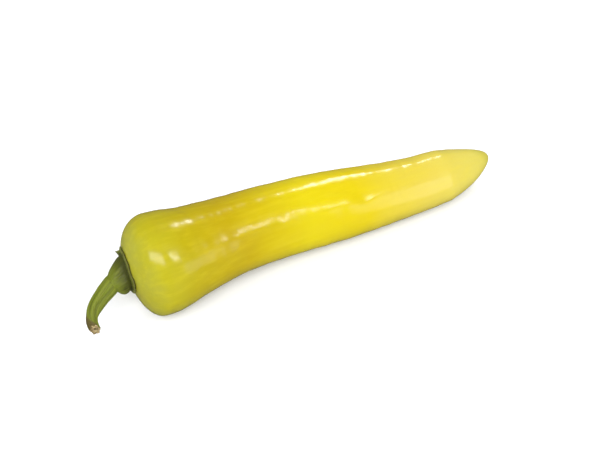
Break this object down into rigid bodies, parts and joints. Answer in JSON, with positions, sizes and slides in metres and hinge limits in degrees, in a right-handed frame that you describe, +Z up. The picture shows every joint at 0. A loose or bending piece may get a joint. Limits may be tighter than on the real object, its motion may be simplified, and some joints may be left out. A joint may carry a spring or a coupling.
{
  "type": "sweet pointed pepper",
  "caption": "Long yellow sweet pepper with blunt shoulders, shallow lengthwise ridges, a rounded tip, a green calyx and a hooked cut stem, lying on its side.",
  "frame": {"origin": "middle of the pepper's box, on the surface it lies on", "axes": "+X along the pepper's length, from the stem end to the tip; +Z up; -Y is the side that faces the viewer when the stem is on the left"},
  "size_m": [0.2178, 0.048, 0.0487],
  "materials": {
    "fruit_skin": "waxy, smooth gloss",
    "calyx_green": "satin, ribbed",
    "stem_green": "satin, finely ribbed"
  },
  "bodies": {
    "root": {"fruit": "fruit_skin", "calyx": "calyx_green", "stem": "stem_green"}
  },
  "joints": []
}
